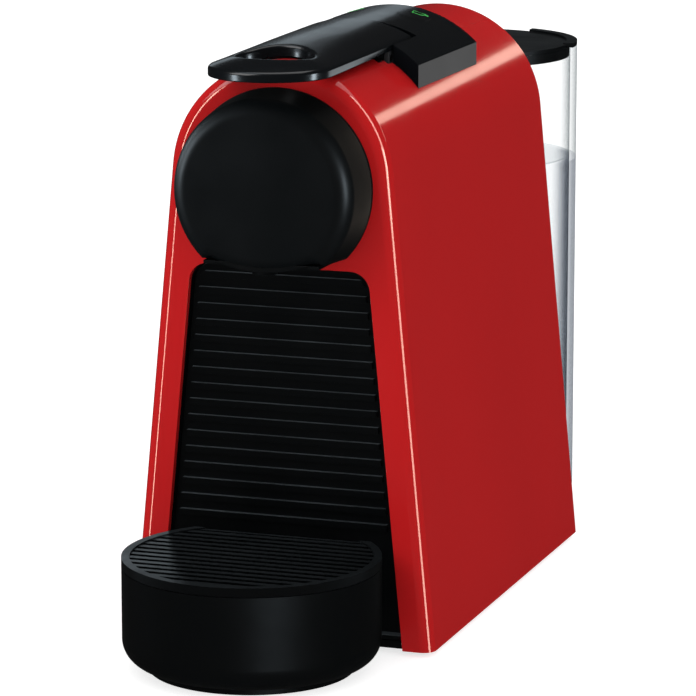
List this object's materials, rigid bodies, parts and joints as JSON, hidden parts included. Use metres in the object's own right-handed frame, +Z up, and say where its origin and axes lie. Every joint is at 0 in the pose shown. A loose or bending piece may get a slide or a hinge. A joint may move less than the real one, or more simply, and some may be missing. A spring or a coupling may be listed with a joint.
{
  "type": "capsule espresso machine",
  "caption": "Compact capsule espresso machine: arched casing, round black brewing head, flip-up lever, lift-off clear water tank, slide-out capsule container and round cup stand.",
  "frame": {"origin": "centre of the footprint, on the surface the machine stands on", "axes": "+X across the machine, towards the right side seen from the front; -Y the front with the brewing head; +Z up"},
  "size_m": [0.11, 0.325, 0.2076],
  "materials": {
    "shell_plastic": "high-gloss red moulded casing",
    "body_plastic": "satin black moulded plastic",
    "panel_plastic": "polished black moulded plastic",
    "head_plastic": "satin black moulded head cover",
    "inner_plastic": "plain dark grey moulded plastic",
    "tank_plastic": "clear moulded tank",
    "clear_hose": "milky silicone hose",
    "rubber": "black rubber",
    "steel": "plain stainless steel",
    "cast_aluminium": "rough die-cast aluminium",
    "circuit_board": "green glass-fibre board"
  },
  "bodies": {
    "chassis": {"outer_shell": "shell_plastic", "rear_cover": "body_plastic", "base_plate": "body_plastic", "rubber_feet": "rubber", "base_screws": "steel", "bay_liner": "body_plastic", "inner_frame": "inner_plastic", "head_collar": "body_plastic", "head_cover": "head_plastic", "spout_bridge": "body_plastic", "spout_nozzle": "body_plastic", "brew_head_block": "inner_plastic", "extraction_plate": "steel", "plate_seal": "rubber", "brew_frame": "inner_plastic", "capsule_guide": "inner_plastic", "water_fitting": "steel", "thermoblock": "cast_aluminium", "heater_element": "steel", "thermostat": "steel", "thermal_fuse": "steel", "temperature_sensor": "steel", "pump_body": "inner_plastic", "pump_coil": "inner_plastic", "pump_mounts": "rubber", "pump_bracket": "steel", "flow_meter_body": "inner_plastic", "flow_meter_cap": "inner_plastic", "suction_hose": "clear_hose", "pressure_hose": "clear_hose", "brew_hose": "clear_hose", "inlet_hose": "clear_hose", "main_board": "circuit_board", "board_relay": "inner_plastic", "board_capacitor": "inner_plastic", "cord_gland": "body_plastic", "tank_dock": "body_plastic", "dock_seal": "rubber", "control_panel": "panel_plastic", "panel_chassis": "inner_plastic", "switch_board": "circuit_board", "lever_hinge_pins": "steel"},
    "tank": {"water_tank": "tank_plastic", "valve_guide": "inner_plastic"},
    "valve": {"tank_valve": "inner_plastic"},
    "lid": {"tank_lid": "body_plastic"},
    "lever": {"lever_cover": "panel_plastic", "lever_frame": "inner_plastic", "link_pins": "steel"},
    "links": {"link_rods": "steel"},
    "cage": {"capsule_cage": "steel", "cage_carrier": "inner_plastic", "piercing_blades": "steel"},
    "container": {"capsule_container": "body_plastic"},
    "stand": {"drip_base": "body_plastic"},
    "grid": {"drip_grid": "body_plastic"},
    "button_left": {"espresso_button": "panel_plastic"},
    "button_right": {"lungo_button": "panel_plastic"},
    "meter_wheel": {"flow_meter_rotor": "inner_plastic"},
    "piston": {"pump_piston": "steel"}
  },
  "joints": [
    {"name": "lever_hinge", "type": "hinge", "parent": "chassis", "child": "lever", "pos_m": [0, -0.0222, 0.1965], "axis": [-1, 0, 0], "range_deg": [0, 80]},
    {"name": "link_pivot", "type": "hinge", "parent": "lever", "child": "links", "pos_m": [0, -0.0342, 0.1965], "axis": [-1, 0, 0], "range_deg": [-107, 0]},
    {"name": "cage_slide", "type": "slide", "parent": "chassis", "child": "cage", "axis": [0, 1, 0], "range_m": [0, 0.0254]},
    {"name": "tank_lift", "type": "slide", "parent": "chassis", "child": "tank", "axis": [0, 0, 1], "range_m": [0, 0.2]},
    {"name": "valve_push", "type": "slide", "parent": "tank", "child": "valve", "axis": [0, 0, 1], "range_m": [0, 0.002], "stiffness_N_per_m": 150, "springref_m": -0.002},
    {"name": "lid_lift", "type": "slide", "parent": "tank", "child": "lid", "axis": [0, 0, 1], "range_m": [0, 0.06]},
    {"name": "container_pull", "type": "slide", "parent": "chassis", "child": "container", "axis": [0, -1, 0], "range_m": [0, 0.13]},
    {"name": "stand_pull", "type": "slide", "parent": "container", "child": "stand", "axis": [0, -1, 0], "range_m": [0, 0.05]},
    {"name": "grid_lift", "type": "slide", "parent": "stand", "child": "grid", "axis": [0, 0, 1], "range_m": [0, 0.03]},
    {"name": "espresso_press", "type": "slide", "parent": "chassis", "child": "button_left", "axis": [0, 0, -1], "range_m": [0, 0.0012], "stiffness_N_per_m": 800, "springref_m": -0.0005},
    {"name": "lungo_press", "type": "slide", "parent": "chassis", "child": "button_right", "axis": [0, 0, -1], "range_m": [0, 0.0012], "stiffness_N_per_m": 800, "springref_m": -0.0005},
    {"name": "meter_spin", "type": "hinge", "parent": "chassis", "child": "meter_wheel", "pos_m": [0.024, 0.06, 0.025], "axis": [0, 0, 1], "continuous": true},
    {"name": "piston_stroke", "type": "slide", "parent": "chassis", "child": "piston", "axis": [0, 1, 0], "range_m": [-0.003, 0.012], "stiffness_N_per_m": 1500}
  ],
  "couplings": [
    {"joint": "link_pivot", "follows": "lever_hinge", "ratio": -1.3337},
    {"joint": "cage_slide", "follows": "lever_hinge", "m_per_rad": 0.01812}
  ]
}
